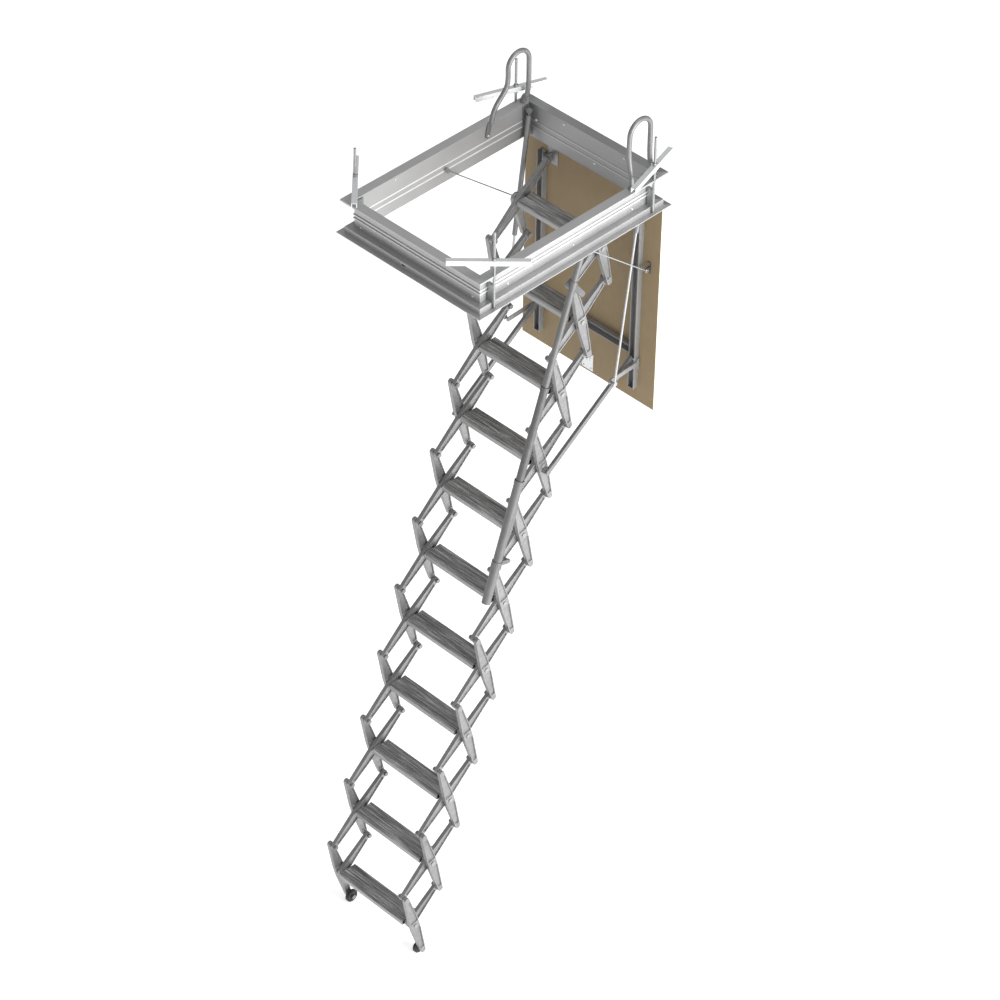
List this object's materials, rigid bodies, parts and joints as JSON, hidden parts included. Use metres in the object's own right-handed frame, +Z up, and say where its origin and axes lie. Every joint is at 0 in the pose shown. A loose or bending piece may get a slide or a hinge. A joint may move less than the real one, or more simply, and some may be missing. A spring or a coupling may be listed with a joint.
{
  "type": "attic ladder",
  "caption": "Framed ceiling hatch with a folding scissor ladder, telescopic handrail, grab handles and ceiling clamps.",
  "frame": {"origin": "plan centre of the ceiling frame, level with the underside of its flange", "axes": "+X to the right as the climber sees it, +Y towards the hatch hinge, +Z up"},
  "size_m": [0.7024, 1.0043, 2.8605],
  "materials": {
    "rail_aluminium": "mill-finish extruded aluminium, fine die lines",
    "tread_aluminium": "grooved extruded aluminium, slightly darker",
    "cast_aluminium": "die-cast aluminium, satin",
    "tube_aluminium": "drawn tube, satin",
    "zinc_steel": "zinc-plated steel",
    "bright_zinc": "bright zinc-plated steel channel",
    "fibreboard": "pressed fibreboard with a pale cut edge",
    "black_rubber": "black rubber"
  },
  "bodies": {
    "frame": {"front_rail": "rail_aluminium", "back_rail": "rail_aluminium", "left_rail": "rail_aluminium", "right_rail": "rail_aluminium", "corner_brackets": "zinc_steel", "grab_handles": "tube_aluminium", "clamp_rods": "zinc_steel", "hinge_plates": "zinc_steel"},
    "clamp_1": {"clamp_bar_1": "bright_zinc"},
    "clamp_2": {"clamp_bar_2": "bright_zinc"},
    "clamp_3": {"clamp_bar_3": "bright_zinc"},
    "clamp_4": {"clamp_bar_4": "bright_zinc"},
    "hatch": {"hatch_panel": "fibreboard", "hatch_channels": "rail_aluminium", "hatch_fittings": "zinc_steel", "ladder_brackets": "zinc_steel"},
    "latch": {"latch_hook": "zinc_steel"},
    "strut": {"struts": "cast_aluminium"},
    "spring_tube": {"spring_tubes": "tube_aluminium"},
    "spring_rod": {"spring_rods": "zinc_steel"},
    "stay_swivel": {"stay_swivels": "zinc_steel"},
    "stay_rod": {"stay_rods": "zinc_steel"},
    "handrail_top": {"handrail_upper": "tube_aluminium"},
    "handrail_mid": {"handrail_middle": "tube_aluminium"},
    "handrail_low": {"handrail_lower": "tube_aluminium", "handrail_link": "zinc_steel"},
    "wheels": {"foot_wheels": "black_rubber"},
    "step_01": {"tread_01": "tread_aluminium"},
    "outer_01": {"outer_arms_01": "cast_aluminium"},
    "inner_01": {"inner_arms_01": "cast_aluminium"},
    "step_02": {"tread_02": "tread_aluminium"},
    "outer_02": {"outer_arms_02": "cast_aluminium"},
    "inner_02": {"inner_arms_02": "cast_aluminium"},
    "step_03": {"tread_03": "tread_aluminium"},
    "outer_03": {"outer_arms_03": "cast_aluminium"},
    "inner_03": {"inner_arms_03": "cast_aluminium"},
    "step_04": {"tread_04": "tread_aluminium"},
    "outer_04": {"outer_arms_04": "cast_aluminium"},
    "inner_04": {"inner_arms_04": "cast_aluminium"},
    "step_05": {"tread_05": "tread_aluminium"},
    "outer_05": {"outer_arms_05": "cast_aluminium"},
    "inner_05": {"inner_arms_05": "cast_aluminium"},
    "step_06": {"tread_06": "tread_aluminium"},
    "outer_06": {"outer_arms_06": "cast_aluminium"},
    "inner_06": {"inner_arms_06": "cast_aluminium"},
    "step_07": {"tread_07": "tread_aluminium"},
    "outer_07": {"outer_arms_07": "cast_aluminium"},
    "inner_07": {"inner_arms_07": "cast_aluminium"},
    "step_08": {"tread_08": "tread_aluminium"},
    "outer_08": {"outer_arms_08": "cast_aluminium"},
    "inner_08": {"inner_arms_08": "cast_aluminium"},
    "step_09": {"tread_09": "tread_aluminium"},
    "outer_09": {"outer_arms_09": "cast_aluminium"},
    "inner_09": {"inner_arms_09": "cast_aluminium"},
    "step_10": {"tread_10": "tread_aluminium"},
    "outer_10": {"outer_arms_10": "cast_aluminium"},
    "inner_10": {"inner_arms_10": "cast_aluminium"},
    "step_11": {"tread_11": "tread_aluminium"},
    "outer_11": {"outer_arms_11": "cast_aluminium"},
    "inner_11": {"inner_arms_11": "cast_aluminium"}
  },
  "joints": [
    {"name": "hatch_hinge", "type": "hinge", "parent": "frame", "child": "hatch", "pos_m": [0, 0.36775, -0.0075], "axis": [-1, 0, 0], "range_deg": [0, 48]},
    {"name": "ladder_fold", "type": "hinge", "parent": "hatch", "child": "inner_11", "pos_m": [0, 0.3328, -0.039], "axis": [-1, 0, 0], "range_deg": [0, 30.37]},
    {"name": "outer_arms_11_pivot", "type": "hinge", "parent": "inner_11", "child": "outer_11", "pos_m": [0, 0.22166, -0.12674], "axis": [1, 0, 0], "range_deg": [0, 98.25]},
    {"name": "tread_11_pivot", "type": "hinge", "parent": "inner_11", "child": "step_11", "pos_m": [0, 0.22166, -0.12674], "axis": [1, 0, 0], "range_deg": [0, 30.38]},
    {"name": "outer_arms_10_pivot", "type": "hinge", "parent": "inner_11", "child": "outer_10", "pos_m": [0, 0.11052, -0.21448], "axis": [1, 0, 0], "range_deg": [0, 98.25]},
    {"name": "inner_arms_10_pivot", "type": "hinge", "parent": "outer_10", "child": "inner_10", "pos_m": [0, 0.1453, -0.35174], "axis": [1, 0, 0], "range_deg": [-98.25, 0]},
    {"name": "tread_10_pivot", "type": "hinge", "parent": "inner_10", "child": "step_10", "pos_m": [0, 0.1453, -0.35174], "axis": [1, 0, 0], "range_deg": [0, 30.38]},
    {"name": "outer_arms_09_pivot", "type": "hinge", "parent": "inner_10", "child": "outer_09", "pos_m": [0, 0.03416, -0.43948], "axis": [1, 0, 0], "range_deg": [0, 98.25]},
    {"name": "inner_arms_09_pivot", "type": "hinge", "parent": "outer_09", "child": "inner_09", "pos_m": [0, 0.06894, -0.57674], "axis": [1, 0, 0], "range_deg": [-98.25, 0]},
    {"name": "tread_09_pivot", "type": "hinge", "parent": "inner_09", "child": "step_09", "pos_m": [0, 0.06894, -0.57674], "axis": [1, 0, 0], "range_deg": [0, 30.38]},
    {"name": "outer_arms_08_pivot", "type": "hinge", "parent": "inner_09", "child": "outer_08", "pos_m": [0, -0.0422, -0.66448], "axis": [1, 0, 0], "range_deg": [0, 98.25]},
    {"name": "inner_arms_08_pivot", "type": "hinge", "parent": "outer_08", "child": "inner_08", "pos_m": [0, -0.00742, -0.80174], "axis": [1, 0, 0], "range_deg": [-98.25, 0]},
    {"name": "tread_08_pivot", "type": "hinge", "parent": "inner_08", "child": "step_08", "pos_m": [0, -0.00742, -0.80174], "axis": [1, 0, 0], "range_deg": [0, 30.38]},
    {"name": "outer_arms_07_pivot", "type": "hinge", "parent": "inner_08", "child": "outer_07", "pos_m": [0, -0.11856, -0.88948], "axis": [1, 0, 0], "range_deg": [0, 98.25]},
    {"name": "inner_arms_07_pivot", "type": "hinge", "parent": "outer_07", "child": "inner_07", "pos_m": [0, -0.08378, -1.02674], "axis": [1, 0, 0], "range_deg": [-98.25, 0]},
    {"name": "tread_07_pivot", "type": "hinge", "parent": "inner_07", "child": "step_07", "pos_m": [0, -0.08378, -1.02674], "axis": [1, 0, 0], "range_deg": [0, 30.38]},
    {"name": "outer_arms_06_pivot", "type": "hinge", "parent": "inner_07", "child": "outer_06", "pos_m": [0, -0.19492, -1.11448], "axis": [1, 0, 0], "range_deg": [0, 98.25]},
    {"name": "inner_arms_06_pivot", "type": "hinge", "parent": "outer_06", "child": "inner_06", "pos_m": [0, -0.16014, -1.25174], "axis": [1, 0, 0], "range_deg": [-98.25, 0]},
    {"name": "tread_06_pivot", "type": "hinge", "parent": "inner_06", "child": "step_06", "pos_m": [0, -0.16014, -1.25174], "axis": [1, 0, 0], "range_deg": [0, 30.38]},
    {"name": "outer_arms_05_pivot", "type": "hinge", "parent": "inner_06", "child": "outer_05", "pos_m": [0, -0.27128, -1.33948], "axis": [1, 0, 0], "range_deg": [0, 98.25]},
    {"name": "inner_arms_05_pivot", "type": "hinge", "parent": "outer_05", "child": "inner_05", "pos_m": [0, -0.2365, -1.47674], "axis": [1, 0, 0], "range_deg": [-98.25, 0]},
    {"name": "tread_05_pivot", "type": "hinge", "parent": "inner_05", "child": "step_05", "pos_m": [0, -0.2365, -1.47674], "axis": [1, 0, 0], "range_deg": [0, 30.38]},
    {"name": "outer_arms_04_pivot", "type": "hinge", "parent": "inner_05", "child": "outer_04", "pos_m": [0, -0.34764, -1.56448], "axis": [1, 0, 0], "range_deg": [0, 98.25]},
    {"name": "inner_arms_04_pivot", "type": "hinge", "parent": "outer_04", "child": "inner_04", "pos_m": [0, -0.31286, -1.70174], "axis": [1, 0, 0], "range_deg": [-98.25, 0]},
    {"name": "tread_04_pivot", "type": "hinge", "parent": "inner_04", "child": "step_04", "pos_m": [0, -0.31286, -1.70174], "axis": [1, 0, 0], "range_deg": [0, 30.38]},
    {"name": "outer_arms_03_pivot", "type": "hinge", "parent": "inner_04", "child": "outer_03", "pos_m": [0, -0.424, -1.78948], "axis": [1, 0, 0], "range_deg": [0, 98.25]},
    {"name": "inner_arms_03_pivot", "type": "hinge", "parent": "outer_03", "child": "inner_03", "pos_m": [0, -0.38922, -1.92674], "axis": [1, 0, 0], "range_deg": [-98.25, 0]},
    {"name": "tread_03_pivot", "type": "hinge", "parent": "inner_03", "child": "step_03", "pos_m": [0, -0.38922, -1.92674], "axis": [1, 0, 0], "range_deg": [0, 30.38]},
    {"name": "outer_arms_02_pivot", "type": "hinge", "parent": "inner_03", "child": "outer_02", "pos_m": [0, -0.50036, -2.01448], "axis": [1, 0, 0], "range_deg": [0, 98.25]},
    {"name": "inner_arms_02_pivot", "type": "hinge", "parent": "outer_02", "child": "inner_02", "pos_m": [0, -0.46558, -2.15174], "axis": [1, 0, 0], "range_deg": [-98.25, 0]},
    {"name": "tread_02_pivot", "type": "hinge", "parent": "inner_02", "child": "step_02", "pos_m": [0, -0.46558, -2.15174], "axis": [1, 0, 0], "range_deg": [0, 30.38]},
    {"name": "outer_arms_01_pivot", "type": "hinge", "parent": "inner_02", "child": "outer_01", "pos_m": [0, -0.57672, -2.23948], "axis": [1, 0, 0], "range_deg": [0, 98.25]},
    {"name": "inner_arms_01_pivot", "type": "hinge", "parent": "outer_01", "child": "inner_01", "pos_m": [0, -0.54194, -2.37674], "axis": [1, 0, 0], "range_deg": [-98.25, 0]},
    {"name": "tread_01_pivot", "type": "hinge", "parent": "inner_01", "child": "step_01", "pos_m": [0, -0.54194, -2.37674], "axis": [1, 0, 0], "range_deg": [0, 30.38]},
    {"name": "foot_wheel_spin", "type": "hinge", "parent": "outer_01", "child": "wheels", "pos_m": [0, -0.50716, -2.514], "axis": [1, 0, 0], "continuous": true},
    {"name": "handrail_pivot", "type": "hinge", "parent": "outer_10", "child": "handrail_top", "pos_m": [0, 0.11052, -0.21448], "axis": [1, 0, 0], "range_deg": [-49.13, 0]},
    {"name": "handrail_middle_slide", "type": "slide", "parent": "handrail_top", "child": "handrail_mid", "axis": [0, 0.3214, 0.947], "range_m": [0, 0.3021]},
    {"name": "handrail_lower_slide", "type": "slide", "parent": "handrail_mid", "child": "handrail_low", "axis": [0, 0.3214, 0.947], "range_m": [0, 0.29391]},
    {"name": "strut_pivot", "type": "hinge", "parent": "hatch", "child": "strut", "pos_m": [0, 0.345, -0.582], "axis": [-1, 0, 0], "range_deg": [0, 106.11]},
    {"name": "spring_tube_pivot", "type": "hinge", "parent": "frame", "child": "spring_tube", "pos_m": [0, 0.33, 0.1], "axis": [-1, 0, 0], "range_deg": [0, 42.76]},
    {"name": "spring_rod_slide", "type": "slide", "parent": "spring_tube", "child": "spring_rod", "axis": [0, 0.1298, 0.9915], "range_m": [0, 0.06924]},
    {"name": "stay_swivel_pivot", "type": "hinge", "parent": "frame", "child": "stay_swivel", "pos_m": [0, 0.008, 0.041], "axis": [-1, 0, 0], "range_deg": [0, 7.27]},
    {"name": "stay_rod_slide", "type": "slide", "parent": "stay_swivel", "child": "stay_rod", "axis": [0, -0.7714, 0.6363], "range_m": [0, 0.1829]},
    {"name": "clamp_bar_1_swivel", "type": "hinge", "parent": "frame", "child": "clamp_1", "pos_m": [-0.275, -0.32, 0.16], "axis": [0, 0, 1], "range_deg": [-90, 15]},
    {"name": "clamp_bar_2_swivel", "type": "hinge", "parent": "frame", "child": "clamp_2", "pos_m": [0.275, -0.32, 0.16], "axis": [0, 0, 1], "range_deg": [-15, 90]},
    {"name": "clamp_bar_3_swivel", "type": "hinge", "parent": "frame", "child": "clamp_3", "pos_m": [-0.275, 0.32, 0.16], "axis": [0, 0, 1], "range_deg": [-10, 20]},
    {"name": "clamp_bar_4_swivel", "type": "hinge", "parent": "frame", "child": "clamp_4", "pos_m": [0.275, 0.32, 0.16], "axis": [0, 0, 1], "range_deg": [-18, 10]},
    {"name": "latch_turn", "type": "hinge", "parent": "hatch", "child": "latch", "pos_m": [0.003, 0.35975, -0.69775], "axis": [0, 1, 0], "range_deg": [-90, 90]}
  ],
  "couplings": [
    {"joint": "outer_arms_11_pivot", "follows": "ladder_fold", "ratio": 3.2344},
    {"joint": "tread_11_pivot", "follows": "ladder_fold", "ratio": 1},
    {"joint": "outer_arms_10_pivot", "follows": "ladder_fold", "ratio": 3.2344},
    {"joint": "inner_arms_10_pivot", "follows": "ladder_fold", "ratio": -3.2344},
    {"joint": "tread_10_pivot", "follows": "ladder_fold", "ratio": 1},
    {"joint": "outer_arms_09_pivot", "follows": "ladder_fold", "ratio": 3.2344},
    {"joint": "inner_arms_09_pivot", "follows": "ladder_fold", "ratio": -3.2344},
    {"joint": "tread_09_pivot", "follows": "ladder_fold", "ratio": 1},
    {"joint": "outer_arms_08_pivot", "follows": "ladder_fold", "ratio": 3.2344},
    {"joint": "inner_arms_08_pivot", "follows": "ladder_fold", "ratio": -3.2344},
    {"joint": "tread_08_pivot", "follows": "ladder_fold", "ratio": 1},
    {"joint": "outer_arms_07_pivot", "follows": "ladder_fold", "ratio": 3.2344},
    {"joint": "inner_arms_07_pivot", "follows": "ladder_fold", "ratio": -3.2344},
    {"joint": "tread_07_pivot", "follows": "ladder_fold", "ratio": 1},
    {"joint": "outer_arms_06_pivot", "follows": "ladder_fold", "ratio": 3.2344},
    {"joint": "inner_arms_06_pivot", "follows": "ladder_fold", "ratio": -3.2344},
    {"joint": "tread_06_pivot", "follows": "ladder_fold", "ratio": 1},
    {"joint": "outer_arms_05_pivot", "follows": "ladder_fold", "ratio": 3.2344},
    {"joint": "inner_arms_05_pivot", "follows": "ladder_fold", "ratio": -3.2344},
    {"joint": "tread_05_pivot", "follows": "ladder_fold", "ratio": 1},
    {"joint": "outer_arms_04_pivot", "follows": "ladder_fold", "ratio": 3.2344},
    {"joint": "inner_arms_04_pivot", "follows": "ladder_fold", "ratio": -3.2344},
    {"joint": "tread_04_pivot", "follows": "ladder_fold", "ratio": 1},
    {"joint": "outer_arms_03_pivot", "follows": "ladder_fold", "ratio": 3.2344},
    {"joint": "inner_arms_03_pivot", "follows": "ladder_fold", "ratio": -3.2344},
    {"joint": "tread_03_pivot", "follows": "ladder_fold", "ratio": 1},
    {"joint": "outer_arms_02_pivot", "follows": "ladder_fold", "ratio": 3.2344},
    {"joint": "inner_arms_02_pivot", "follows": "ladder_fold", "ratio": -3.2344},
    {"joint": "tread_02_pivot", "follows": "ladder_fold", "ratio": 1},
    {"joint": "outer_arms_01_pivot", "follows": "ladder_fold", "ratio": 3.2344},
    {"joint": "inner_arms_01_pivot", "follows": "ladder_fold", "ratio": -3.2344},
    {"joint": "tread_01_pivot", "follows": "ladder_fold", "ratio": 1},
    {"joint": "handrail_pivot", "follows": "ladder_fold", "ratio": -1.6172},
    {"joint": "handrail_middle_slide", "follows": "ladder_fold", "m_per_rad": 0.56969},
    {"joint": "handrail_lower_slide", "follows": "ladder_fold", "m_per_rad": 0.55425},
    {"joint": "strut_pivot", "follows": "ladder_fold", "ratio": 3.4931},
    {"joint": "spring_tube_pivot", "follows": "hatch_hinge", "ratio": 0.89058},
    {"joint": "spring_rod_slide", "follows": "hatch_hinge", "m_per_rad": 0.082534},
    {"joint": "stay_swivel_pivot", "follows": "hatch_hinge", "ratio": 0.15132},
    {"joint": "stay_rod_slide", "follows": "hatch_hinge", "m_per_rad": 0.2182}
  ]
}
